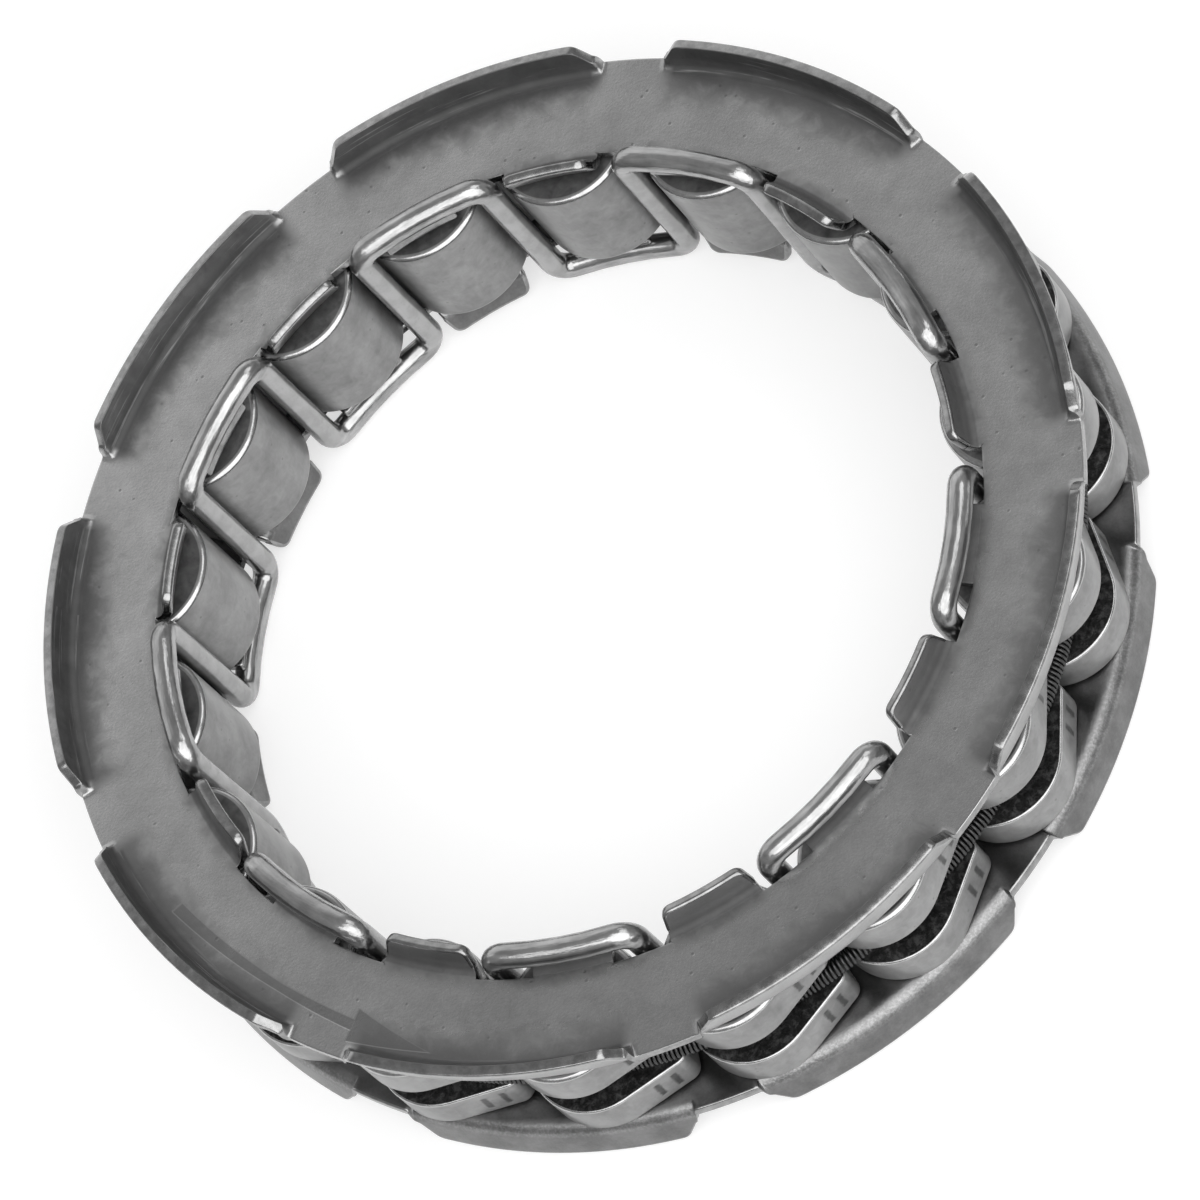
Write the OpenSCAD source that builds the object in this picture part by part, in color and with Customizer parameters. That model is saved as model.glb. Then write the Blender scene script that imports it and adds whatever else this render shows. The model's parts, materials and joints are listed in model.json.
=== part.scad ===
// Sprag clutch cage set for a starter drive.
// Two stamped cage plates are held together by one zigzag wire, a ring of rocking
// sprags stands between them, and a garter spring runs round the sprags.
// The axis is Z, the marked plate faces +Z, and the origin is on the axis at mid-width.

/* [Cage plates] */
// Radius of the plate edge in the gaps between the outer flanges
plate_r = 31.2; // [31:0.05:31.3]
// Thickness of the plate sheet
sheet_t = 0.65; // [0.55:0.05:0.7]
// Distance between the outer faces of the two plates
cage_w = 9.34; // [9:0.02:9.8]
// Overall width over the outer flanges
overall_w = 13; // [12.4:0.1:13.6]
// Distance from the plate edge in to the root of the outer flanges
flange_inset = 0.96; // [0.8:0.02:1.2]
// Outward lean of the outer flanges, in degrees
flange_lean = 12; // [8:1:14]
// Width of one outer flange at its foot, in degrees
flange_angle = 31.5; // [30:0.5:32]
// Narrowing of an outer flange towards its rim, at each end
flange_taper = 0.9; // [0.5:0.1:1.1]
// Radius of the rounded corners of the outer flanges
flange_corner_r = 0.7; // [0.4:0.1:0.9]
// Radius on the hollow side of every bend
bend_r = 0.45; // [0.35:0.05:0.5]
// Width of the flat between the plate edge and the notches beside the tabs
ring_w = 5.9; // [5.6:0.05:5.95]

/* [Inner tabs] */
// Distance by which the notches reach past the root of the tabs
tab_relief = 0.1; // [0.08:0.01:0.15]
// Height of the bent tabs above the face of the plate
tab_h = 1.5; // [1.3:0.1:1.7]
// Lean of the bent tabs towards the axis, in degrees
tab_lean = 23; // [20:1:26]
// Width of a bent tab at the face of the plate
tab_base_w = 5.86; // [5.4:0.02:6]
// Width of a bent tab at its top
tab_top_w = 4.9; // [4.4:0.1:5.2]
// Radius of the rounded top corners of a bent tab
tab_corner_r = 0.7; // [0.3:0.1:0.9]
// Width of a wire seat, in degrees
seat_angle = 10.9; // [10:0.1:11.4]
// Distance from the root of a wire seat in to its free end
seat_l = 1.3; // [1.1:0.05:1.4]
// Upward slope of a wire seat, in degrees
seat_slope = 13; // [11:1:14]

/* [Cage wire] */
// Diameter of the cage wire
wire_d = 1.5; // [1.3:0.05:1.5]
// Distance from the root of the tabs in to the wire's centreline
wire_inset = 0.89; // [0.8:0.01:0.95]
// Clearance between the wire and its seats
wire_gap = 0.05; // [0.04:0.01:0.15]
// Radius of the wire's corners on its centreline
wire_corner_r = 1.1; // [0.9:0.1:1.3]

/* [Sprags] */
// Distance from the plate edge in to the centres of the inner cam faces
cam_inset = 4.12; // [4:0.02:4.2]
// Gap between the inner cam faces of two neighbouring sprags
sprag_gap = 1; // [0.9:0.05:1.2]
// Clearance between the end of a sprag and the plate beside it
end_gap = 0.15; // [0.12:0.01:0.3]
// Amount by which the outer cam face is rounded tighter than the inner one
cam_step = 0.2; // [0.1:0.05:0.4]
// Distance along the radius between the centres of the two cam faces
cam_rise = 0.22; // [0.1:0.02:0.3]
// Sideways offset of the centre of the outer cam face
outer_cam_side = 0.95; // [0.85:0.01:1]
// Slope of the flat flank beside the outer cam face, in degrees
flank_slope = 27; // [25:1:29]
// Radius of the rounded toe at the low end of the flank
toe_r = 0.8; // [0.7:0.05:0.9]
// Distance from the toe to the line half way to the next sprag
toe_gap = 0.25; // [0.2:0.01:0.4]
// Distance from the centre of the inner cam face in to the lower edge of the heel
heel_drop = 0.6; // [0.4:0.05:0.8]
// Chamfer at both ends of a sprag
sprag_chamfer = 0.2; // [0.15:0.05:0.35]

/* [Garter spring] */
// Outer diameter of the spring coil
spring_d = 1.3; // [1.1:0.05:1.4]
// Distance from the plate edge in to the spring's centreline
spring_inset = 2.1; // [2:0.02:2.1]
// Width of the groove that crosses each sprag
groove_w = 2.26; // [2:0.02:2.5]
// Clearance between the spring and the floor of the groove
groove_gap = 0.3; // [0.3:0.02:0.4]

/* [Hidden] */
$fn = 96;
// Number of outer flanges, of bent tabs and of wire seats on each plate
sectors = 9;
sector_pitch = 360 / sectors;
leg_pitch = sector_pitch / 2;
// Direction of the first gap between flanges, of the first tab and of the first seat
gap_at = 5;
tab_at = gap_at + leg_pitch / 2;
seat_at = gap_at - leg_pitch / 2;
flange_root_r = plate_r - flange_inset;
notch_r = plate_r - ring_w;
tab_root_r = notch_r - tab_relief;
wire_r = tab_root_r - wire_inset;
inner_cam_at = plate_r - cam_inset;
// Step to which half the distance between neighbouring sprags is rounded
pitch_step = 0.01;
half_pitch = round(inner_cam_at * sin(leg_pitch / 2) / pitch_step) * pitch_step;
inner_cam_r = half_pitch - sprag_gap / 2;
outer_cam_at = inner_cam_at + cam_rise;
outer_cam_r = inner_cam_r - cam_step;
toe_side = half_pitch - toe_gap - toe_r;
sprag_l = cage_w - 2 * (sheet_t + end_gap);
spring_r = plate_r - spring_inset;
groove_floor_r = spring_r - spring_d / 2 - groove_gap;
face_z = cage_w / 2;
flange_h = (overall_w - cage_w) / 2;
// Amount by which joined shapes reach into each other
lap = 0.2;
// Angle by which the flat of the plate reaches under the end of a flange
seam_angle = 0.05;
// Angle by which the blank of a bent tab is wider than the tab on each side
trim_angle = 1.3;
// Thickening of the wire where it is bent
bend_swell = 0.02;
straight_d = wire_d - bend_swell;
// Margin by which a cutter passes the surface that it trims
past = 0.5;
steel_plate = [0.5, 0.5, 0.5];
steel_wire = [0.68, 0.68, 0.68];
steel_sprag = [0.6, 0.6, 0.6];
steel_spring = [0.3, 0.3, 0.3];
leg_r = sqrt(wire_r * wire_r + wire_corner_r * wire_corner_r);
corner_angle = atan(wire_corner_r / wire_r);
bar_half_angle = leg_pitch / 2 - corner_angle;
// Height over the plate's face of a seat's upper side under the wire's centreline
seat_rise = bend_r * (1 - cos(seat_slope)) + (wire_inset - bend_r * sin(seat_slope)) * tan(seat_slope);
wire_rise = seat_rise + (wire_d / 2 + wire_gap) / cos(seat_slope);
wire_z = face_z + wire_rise;
toe_start = [outer_cam_r * sin(flank_slope) - outer_cam_side,
    outer_cam_at + outer_cam_r * cos(flank_slope)];
toe_at = toe_start[1] - (toe_side - toe_start[0]) * tan(flank_slope) - toe_r / cos(flank_slope);
toe_end = [toe_side + toe_r * sin(flank_slope), toe_at + toe_r * cos(flank_slope)];

// Section of sheet that bends up by the angle turn and then runs straight on; x is the
// way along the sheet from the start of the bend and y is the height over its face
module bent_section(turn, straight) {
    wide = bend_r + sheet_t + past;
    translate([-lap, -sheet_t])
        square([lap, sheet_t]);
    translate([0, bend_r])
        intersection() {
            difference() {
                circle(bend_r + sheet_t);
                circle(bend_r);
            }
            polygon([[0, 0], [0, -wide], [wide * sin(turn), -wide], [wide * sin(turn), -wide * cos(turn)]]);
        }
    translate([0, bend_r])
        rotate(turn)
            translate([0, -bend_r - sheet_t])
                square([straight, sheet_t]);
}

// Sector of revolution between the angles a and b
module sector(a, b) {
    rotate([0, 0, a])
        rotate_extrude(angle = b - a)
            children();
}

// Cutter that slants the end and rounds the upper corner of a flange on the +y side;
// the slant starts at the height of the bend's radius
module flange_corner() {
    slant = [flange_taper, flange_h - bend_r];
    corner_z = flange_h - flange_corner_r;
    corner_y = (flange_corner_r * norm(slant) + (corner_z - bend_r) * flange_taper) / slant[1];
    meet = [corner_y - flange_corner_r * slant[1] / norm(slant),
        corner_z + flange_corner_r * flange_taper / norm(slant)];
    translate([flange_root_r, 0, 0])
        rotate([90, 0, 90])
            linear_extrude(2 * (bend_r + past))
                difference() {
                    polygon([[-past, bend_r], [0, bend_r], meet, [corner_y, corner_z],
                        [corner_y, flange_h + past], [-past, flange_h + past]]);
                    translate([corner_y, corner_z])
                        circle(flange_corner_r);
                }
}

module outer_flange() {
    turn = 90 - flange_lean;
    straight = (flange_h - bend_r * (1 - cos(turn))) / sin(turn) + past;
    half = flange_angle / 2;
    difference() {
        sector(-half, half)
            difference() {
                translate([flange_root_r, 0])
                    bent_section(turn, straight);
                translate([flange_root_r, flange_h])
                    square([3 * past + bend_r + sheet_t, 2 * past]);
            }
        rotate([0, 0, -half])
            flange_corner();
        rotate([0, 0, half])
            mirror([0, 1, 0])
                flange_corner();
    }
}

// Outline of a bent tab, laid flat; y is the way up the tab, which ends at the height top
module tab_outline(top) {
    foot = sheet_t + past;
    inset = tab_top_w / 2 - tab_corner_r;
    polygon([[-tab_base_w / 2, -foot], [tab_base_w / 2, -foot], [tab_base_w / 2, 0],
        [tab_top_w / 2, top - tab_corner_r], [-tab_top_w / 2, top - tab_corner_r],
        [-tab_base_w / 2, 0]]);
    translate([-inset, 0])
        square([2 * inset, top + past]);
    for (side = [-1, 1])
        translate([side * inset, top - tab_corner_r])
            circle(tab_corner_r);
}

module bent_tab() {
    turn = 90 - tab_lean;
    straight = (tab_h - bend_r * (1 - cos(turn))) / sin(turn);
    half = asin(tab_base_w / 2 / tab_root_r) + trim_angle;
    depth = bend_r + sheet_t + 2 * past;
    intersection() {
        sector(-half, half)
            translate([tab_root_r, 0])
                mirror([1, 0])
                    bent_section(turn, straight);
        translate([tab_root_r, 0, 0])
            rotate([0, -tab_lean, 0])
                translate([-depth, 0, 0])
                    rotate([90, 0, 90])
                        linear_extrude(depth + lap + past)
                            tab_outline(bend_r * sin(turn) + straight);
    }
}

module wire_seat() {
    straight = (seat_l - (bend_r + sheet_t) * sin(seat_slope)) / cos(seat_slope);
    sector(-seat_angle / 2, seat_angle / 2)
        translate([tab_root_r, 0])
            mirror([1, 0])
                bent_section(seat_slope, straight);
}

// Flat of the plate: a ring that reaches the plate edge only in the gaps between flanges
module plate_outline() {
    half = (sector_pitch - flange_angle) / 2 + seam_angle;
    far = 2 * plate_r;
    difference() {
        circle(flange_root_r - lap / 2);
        circle(notch_r);
    }
    for (i = [0 : sectors - 1])
        rotate(gap_at + i * sector_pitch)
            intersection() {
                difference() {
                    circle(plate_r);
                    circle(flange_root_r - lap);
                }
                polygon([[0, 0], [far, -far * tan(half)], [far, far * tan(half)]]);
            }
}

// One stamped plate with its outer face at height zero
module stamped_plate() {
    translate([0, 0, -sheet_t])
        linear_extrude(sheet_t)
            plate_outline();
    for (i = [0 : sectors - 1]) {
        rotate([0, 0, gap_at + (i + 0.5) * sector_pitch])
            outer_flange();
        rotate([0, 0, tab_at + i * sector_pitch])
            bent_tab();
        rotate([0, 0, seat_at + i * sector_pitch])
            wire_seat();
    }
}

module front_plate() {
    color(steel_plate)
        translate([0, 0, face_z])
            stamped_plate();
}

// The rear plate is the same stamping turned over about the line of a gap
module rear_plate() {
    color(steel_plate)
        rotate([0, 0, gap_at])
            rotate([180, 0, 0])
                rotate([0, 0, -gap_at])
                    translate([0, 0, face_z])
                        stamped_plate();
}

// Bar of the wire over one seat, with the two corners that lead to the legs
module wire_bar() {
    half = bar_half_angle + asin(lap / 2 / wire_r);
    sector(-half, half)
        translate([wire_r, 0])
            circle(d = straight_d);
    for (side = [0, 1])
        mirror([0, side, 0])
            rotate([0, 0, bar_half_angle])
                translate([wire_r, 0, -wire_corner_r])
                    rotate([90, 0, 90])
                        rotate_extrude(angle = 90)
                            translate([wire_corner_r, 0])
                                circle(d = wire_d);
}

module cage_wire() {
    leg_l = 2 * (wire_z - wire_corner_r) + lap;
    color(steel_wire)
        union() {
            for (i = [0 : sectors - 1]) {
                rotate([0, 0, seat_at + i * sector_pitch])
                    translate([0, 0, wire_z])
                        wire_bar();
                rotate([0, 0, tab_at + i * sector_pitch])
                    mirror([0, 0, 1])
                        translate([0, 0, wire_z])
                            wire_bar();
            }
            for (i = [0 : 2 * sectors - 1])
                rotate([0, 0, gap_at + i * leg_pitch])
                    translate([leg_r, 0, -leg_l / 2])
                        cylinder(h = leg_l, d = straight_d);
        }
}

module garter_spring() {
    color(steel_spring)
        rotate_extrude()
            translate([spring_r, 0])
                circle(d = spring_d);
}

// Round bar with both ends chamfered
module barrel(radius) {
    half = sprag_l / 2;
    rotate_extrude()
        polygon([[0, -half], [radius - sprag_chamfer, -half], [radius, sprag_chamfer - half],
            [radius, half - sprag_chamfer], [radius - sprag_chamfer, half], [0, half]]);
}

// Cutter that chamfers both ends of the straight side from p to q, with the steel on its left
module edge_chamfer(p, q) {
    run = q - p;
    half = sprag_l / 2;
    for (up = [0, 1])
        mirror([0, 0, up])
            translate([p[0], p[1], 0])
                rotate([0, 0, atan2(run[1], run[0])])
                    rotate([90, 0, 90])
                        linear_extrude(norm(run))
                            polygon([[sprag_chamfer, half], [0, half - sprag_chamfer],
                                [-past, half - sprag_chamfer - past], [-past, half + past],
                                [sprag_chamfer + past, half + past]]);
}

// One sprag; x is the way round the clutch and y the distance from its axis
module sprag_body() {
    low = inner_cam_at - heel_drop;
    side_foot = [inner_cam_r, inner_cam_at];
    side_top = [toe_side + toe_r, toe_at];
    translate([0, inner_cam_at, 0])
        barrel(inner_cam_r);
    intersection() {
        translate([-outer_cam_side, outer_cam_at, 0])
            barrel(outer_cam_r);
        translate([-2 * outer_cam_r, low, -sprag_l])
            cube([4 * outer_cam_r, 2 * outer_cam_r, 2 * sprag_l]);
    }
    translate([toe_side, toe_at, 0])
        barrel(toe_r);
    difference() {
        translate([0, 0, -sprag_l / 2])
            linear_extrude(sprag_l)
                polygon([[0, inner_cam_at], side_foot, side_top, [toe_side, toe_at], toe_end, toe_start]);
        edge_chamfer(toe_end, toe_start);
        edge_chamfer(side_foot, side_top);
    }
}

module sprag(n) {
    color(steel_sprag)
        difference() {
            rotate([0, 0, tab_at + (n - 1) * leg_pitch - 90])
                mirror([1, 0, 0])
                    sprag_body();
            translate([0, 0, -groove_w / 2])
                linear_extrude(groove_w)
                    difference() {
                        circle(plate_r + 2 * past);
                        circle(groove_floor_r);
                    }
        }
}

front_plate();
rear_plate();
cage_wire();
garter_spring();
sprag(1);  // sprag_01
sprag(2);  // sprag_02
sprag(3);  // sprag_03
sprag(4);  // sprag_04
sprag(5);  // sprag_05
sprag(6);  // sprag_06
sprag(7);  // sprag_07
sprag(8);  // sprag_08
sprag(9);  // sprag_09
sprag(10);  // sprag_10
sprag(11);  // sprag_11
sprag(12);  // sprag_12
sprag(13);  // sprag_13
sprag(14);  // sprag_14
sprag(15);  // sprag_15
sprag(16);  // sprag_16
sprag(17);  // sprag_17
sprag(18);  // sprag_18
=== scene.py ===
import json
import math
import random

import bmesh
import bpy
from mathutils import Matrix, Vector


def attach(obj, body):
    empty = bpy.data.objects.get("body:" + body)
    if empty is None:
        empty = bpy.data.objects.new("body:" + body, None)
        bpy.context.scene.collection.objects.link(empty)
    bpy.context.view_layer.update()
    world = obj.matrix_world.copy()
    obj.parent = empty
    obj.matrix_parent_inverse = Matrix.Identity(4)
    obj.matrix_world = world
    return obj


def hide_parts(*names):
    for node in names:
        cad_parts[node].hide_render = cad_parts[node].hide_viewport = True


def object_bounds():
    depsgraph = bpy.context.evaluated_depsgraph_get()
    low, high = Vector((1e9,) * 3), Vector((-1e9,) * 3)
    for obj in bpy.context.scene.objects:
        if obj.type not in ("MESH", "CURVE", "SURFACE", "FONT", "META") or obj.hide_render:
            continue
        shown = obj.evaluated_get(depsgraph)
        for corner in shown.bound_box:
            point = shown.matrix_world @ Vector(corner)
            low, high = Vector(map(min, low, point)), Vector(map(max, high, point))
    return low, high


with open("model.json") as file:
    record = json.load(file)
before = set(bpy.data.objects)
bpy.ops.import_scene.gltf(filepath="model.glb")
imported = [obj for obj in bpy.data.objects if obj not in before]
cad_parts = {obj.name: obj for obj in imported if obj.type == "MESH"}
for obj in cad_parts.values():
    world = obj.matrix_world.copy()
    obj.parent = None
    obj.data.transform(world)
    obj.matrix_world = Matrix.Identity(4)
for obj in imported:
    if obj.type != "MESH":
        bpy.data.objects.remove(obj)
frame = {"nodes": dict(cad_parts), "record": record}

CAD_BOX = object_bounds()
MM = 0.001

# ---------------------------------------------------------------- camera, room and lamps
# the camera as fitted to the photograph: focal length in millimetres, place in metres, turn
LENS = 249.545
CAMERA_AT = (0.1768304, -0.1878023, 0.3951615)
CAMERA_TURN = Matrix(((0.9210192, 0.1084175, 0.3741247),
                      (0.0533273, 0.9163427, -0.3968277),
                      (-0.3858495, 0.385437, 0.8381876)))
# the room: its glow on the dim and on the bright side, the way to the bright side in the
# camera's axes, and the cosines of the angle to it between which the glow rises
ROOM_DIM, ROOM_BRIGHT = 0.42, 1.25
BRIGHT_WAY = (-0.58, 0.66, -0.47)
BRIGHT_FROM, BRIGHT_FULL = 0.56, 0.78
# the lamps: name, way to it in the camera's axes, diameter in metres, radiance
LAMP_AWAY = 0.85
LAMPS = (("softbox", (0.12, -0.1, 0.98), 1.26, 2.2),
         ("top_light", (0.18, 0.74, 0.65), 0.42, 1.6),
         ("left_light", (-0.6, -0.26, 0.76), 0.36, 1.6))
# the floor: grey and glow for the steel's reflections, and those that the camera sees
FLOOR_GREY, FLOOR_GLOW = 0.8, 0.28
SEEN_GREY, SEEN_GLOW = 0.45, 0.62
FLOOR_REACH, FLOOR_BELOW = 4.0, 0.0001

# ---------------------------------------------------------------- sizes, in millimetres and degrees
# where things stand round the axis: gap between flanges, tab, flange and wire seat, each
# repeated by the pitch
GAP_AT, TAB_AT, FLANGE_AT, SEAT_AT, PITCH = 5.0, 15.0, 25.0, 35.0, 40.0
REPEATS, SPRAGS = 9, 18

# plates: radii, bends, thickness and height of the marked face
PLATE_R, FLANGE_ROOT, NOTCH_R, TAB_ROOT = 31.2, 30.24, 25.3, 25.2
BEND, SHEET, FACE_Z = 0.45, 0.65, 4.67
FLANGE_TURN, TAB_TURN, SEAT_TURN = 78.0, 67.0, 13.0
FLANGE_RISE, TAB_RISE, SEAT_LENGTH = 1.83, 1.5, 1.182
# outline of the blank: lengths along the rim are measured at RIM_R
RIM_R = 31.0
FLANGE_HALF, FLANGE_TAPER, FLANGE_EASE = 15.75, 0.9, 0.75
FLANGE_CORNER, FLANGE_FOOT, FLANGE_LEAD = 0.7, 0.35, 1.2
TAB_HALF_ROOT, TAB_HALF_END, TAB_CORNER, TAB_REACH = 2.93, 2.45, 0.7, 8.5
SEAT_HALF, SEAT_TAPER, SEAT_CORNER = 5.45, 0.05, 0.25
# rounded edges of the sheet: radius at the rim, its burr side, and radius on the tabs
EDGE_ROUND, EDGE_BURR, TAB_ROUND = 0.14, 0.05, 0.2
EDGE_ROWS = 4

WIRE_D, WIRE_R, WIRE_Z, WIRE_CORNER = 1.5, 24.31, 5.6847, 1.1
SPRING_R, SPRING_D = 29.1, 1.3
COIL_TURNS, COIL_STEPS, COIL_GAUGE = 680, 14, 0.22

SPRAG_HALF, SPRAG_ROUND, SPRAG_BEVEL = 3.87, 0.38, 0.06
GROOVE_HALF, GROOVE_ROUND, GROOVE_FLOOR = 1.13, 0.14, 28.15
INNER_AT, INNER_R, OUTER_AT, OUTER_R, OUTER_SIDE = 27.08, 4.2, 27.3, 4.0, 0.95
FLANK, TOE_SIDE, TOE_R, HEEL_LOW = 27.0, 3.65, 0.8, 26.48

# the play by which the wire and the sprags stand turned in the cage
WIRE_PLAY, SPRAG_PLAY = -0.75, -0.6
# unevenness of the wire's bars: round the axis, and the slope's share of the same draw
BAR_UNEVEN, BAR_SLOPE = 0.2, 0.15
# where the plates' stains and painted shade begin, towards the flanges and towards the bore
STAIN_AND_SHADE_OUTER_R, STAIN_AND_SHADE_INNER_R = 28.9, 25.8
# the two dents on each half of a sprag's flank: sideways, half way apart, and along
DENT_SIDE, DENT_APART, DENT_ALONG = 2.95, 0.5, 2.45
# the arrow: directions of its tail, of the base of its head and of its tip, radius, and bow
ARROW_TAIL, ARROW_NECK, ARROW_TIP, ARROW_R, ARROW_BOW = -139.9, -112.1, -102.0, 28.93, 2.4

# material numbers of a plate's faces and of a sprag's
UPPER, RIM, UNDER = 0, 1, 2
SKIN, GROOVE, CHEEK, WORN = 0, 1, 2, 3


# ---------------------------------------------------------------- node helpers
class Graph:
    """The node tree of a new material or world, with one short call for each kind of node."""

    def __init__(self, name, store=bpy.data.materials):
        self.owner = store.new(name)
        self.owner.use_nodes = True
        self.tree = self.owner.node_tree
        self.tree.nodes.clear()

    def add(self, kind, **props):
        n = self.tree.nodes.new(kind)
        for key, value in props.items():
            setattr(n, key, value)
        return n

    def put(self, socket, value):
        if hasattr(value, "is_output"):
            self.tree.links.new(value, socket)
        elif value is not None:
            socket.default_value = value

    def math(self, op, a, b=None):
        n = self.add("ShaderNodeMath", operation=op)
        self.put(n.inputs[0], a)
        self.put(n.inputs[1], b)
        return n.outputs[0]

    def plus(self, a, b):
        return self.math("ADD", a, b)

    def minus(self, a, b):
        return self.math("SUBTRACT", a, b)

    def times(self, a, b):
        return self.math("MULTIPLY", a, b)

    def apart(self, a, b):
        return self.math("ABSOLUTE", self.minus(a, b))

    def swing(self, noise, size):
        """A noise of 0 to 1 as a change of up to half the size either way."""
        return self.times(self.minus(noise, 0.5), size)

    def ramp(self, value, lo, hi, out_lo=0.0, out_hi=1.0):
        n = self.add("ShaderNodeMapRange", interpolation_type="SMOOTHSTEP")
        names = ("Value", "From Min", "From Max", "To Min", "To Max")
        for name, v in zip(names, (value, lo, hi, out_lo, out_hi)):
            self.put(n.inputs[name], v)
        return n.outputs[0]

    def mix(self, fac, a, b):
        n = self.add("ShaderNodeMix", data_type="FLOAT")
        for i, v in zip((0, 2, 3), (fac, a, b)):
            self.put(n.inputs[i], v)
        return n.outputs[0]

    def grey(self, value):
        n = self.add("ShaderNodeCombineColor")
        for socket in n.inputs:
            self.put(socket, value)
        return n.outputs[0]

    def place(self):
        """The object's own coordinates, in millimetres."""
        t = self.add("ShaderNodeTexCoord")
        n = self.add("ShaderNodeVectorMath", operation="SCALE")
        self.put(n.inputs[0], t.outputs["Object"])
        n.inputs["Scale"].default_value = 1.0 / MM
        return n.outputs[0]

    def round_place(self, p):
        """Distance from the axis, direction round it in radians, and height."""
        x, y, z = self.split(p)
        r = self.math("SQRT", self.plus(self.times(x, x), self.times(y, y)))
        return r, self.math("ARCTAN2", y, x), z

    def ring_streaks(self, r, turn, z, fine, along):
        """Noise drawn out round the axis."""
        n = self.add("ShaderNodeCombineXYZ")
        for socket, v, scale in zip(n.inputs, (r, z, turn), (fine, fine, along)):
            self.put(socket, self.times(v, scale))
        return self.noise(n.outputs[0], 1.0, 4.0, 0.6)

    def split(self, vector):
        n = self.add("ShaderNodeSeparateXYZ")
        self.put(n.inputs[0], vector)
        return n.outputs

    def stretch(self, vector, x, y, z):
        n = self.add("ShaderNodeVectorMath", operation="MULTIPLY")
        self.put(n.inputs[0], vector)
        n.inputs[1].default_value = (x, y, z)
        return n.outputs[0]

    def noise(self, vector, scale, detail=3.0, rough=0.55, warp=0.0):
        n = self.add("ShaderNodeTexNoise")
        names = ("Vector", "Scale", "Detail", "Roughness", "Distortion")
        for name, v in zip(names, (vector, scale, detail, rough, warp)):
            self.put(n.inputs[name], v)
        return n.outputs["Fac"]

    def cells(self, vector, scale):
        """Distance to the nearest of scattered points."""
        n = self.add("ShaderNodeTexVoronoi")
        self.put(n.inputs["Vector"], vector)
        self.put(n.inputs["Scale"], scale)
        return n.outputs["Distance"]

    def bump(self, height, distance, strength):
        n = self.add("ShaderNodeBump")
        n.inputs["Strength"].default_value = strength
        n.inputs["Distance"].default_value = distance
        self.put(n.inputs["Height"], height)
        return n.outputs[0]

    def metal(self, colour, rough, normal, metallic):
        n = self.add("ShaderNodeBsdfPrincipled")
        self.put(n.inputs["Base Color"], colour)
        self.put(n.inputs["Roughness"], rough)
        self.put(n.inputs["Normal"], normal)
        n.inputs["Metallic"].default_value = metallic
        return n.outputs[0]

    def steel(self, value, rough, normal, soft=0.0, metallic=1.0):
        """Finish the material; soft is the share of a second, blurred reflection."""
        colour = self.grey(value)
        skin = self.metal(colour, rough, normal, metallic)
        if soft:
            both = self.add("ShaderNodeMixShader")
            both.inputs[0].default_value = soft
            self.put(both.inputs[1], skin)
            blurred = self.metal(colour, self.plus(rough, 0.3), normal, metallic)
            self.put(both.inputs[2], blurred)
            skin = both.outputs[0]
        out = self.add("ShaderNodeOutputMaterial")
        self.put(out.inputs["Surface"], skin)
        return self.owner


# ---------------------------------------------------------------- camera, lights, floor
def link(name, data):
    obj = bpy.data.objects.new(name, data)
    bpy.context.scene.collection.objects.link(obj)
    return obj


def make_camera():
    cam = bpy.data.cameras.new("camera")
    cam.sensor_width = 36.0
    cam.lens = LENS
    cam.clip_start = 0.01
    cam.clip_end = 20.0
    obj = link("camera", cam)
    obj.matrix_world = Matrix.Translation(CAMERA_AT) @ CAMERA_TURN.to_4x4()
    bpy.context.scene.camera = obj


def make_lamp(name, way, size, radiance):
    """A round soft box that faces the object; radiance is what a mirror would show of it."""
    lamp = bpy.data.lights.new(name, "AREA")
    lamp.shape = "DISK"
    lamp.size = size
    lamp.energy = radiance * math.pi * math.pi * size * size / 4.0
    obj = link(name, lamp)
    away = (CAMERA_TURN @ Vector(way)).normalized()
    obj.location = away * LAMP_AWAY
    obj.rotation_euler = away.to_track_quat("Z", "Y").to_euler()


def make_world():
    """White to the camera; round the object a soft room, bright on one side and dim elsewhere."""
    g = Graph("world", bpy.data.worlds)
    bpy.context.scene.world = g.owner
    way = g.add("ShaderNodeTexCoord")
    dot = g.add("ShaderNodeVectorMath", operation="DOT_PRODUCT")
    g.put(dot.inputs[0], way.outputs["Generated"])
    g.put(dot.inputs[1], CAMERA_TURN @ Vector(BRIGHT_WAY).normalized())
    glow = g.ramp(dot.outputs["Value"], BRIGHT_FROM, BRIGHT_FULL, ROOM_DIM, ROOM_BRIGHT)
    soft = g.add("ShaderNodeBackground")
    g.put(soft.inputs["Strength"], glow)
    white = g.add("ShaderNodeBackground")
    g.put(white.inputs["Color"], (1.0, 1.0, 1.0, 1.0))
    path = g.add("ShaderNodeLightPath")
    mix = g.add("ShaderNodeMixShader")
    parts = (path.outputs["Is Camera Ray"], soft.outputs[0], white.outputs[0])
    for socket, v in zip(mix.inputs, parts):
        g.put(socket, v)
    out = g.add("ShaderNodeOutputWorld")
    g.put(out.inputs["Surface"], mix.outputs[0])


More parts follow.
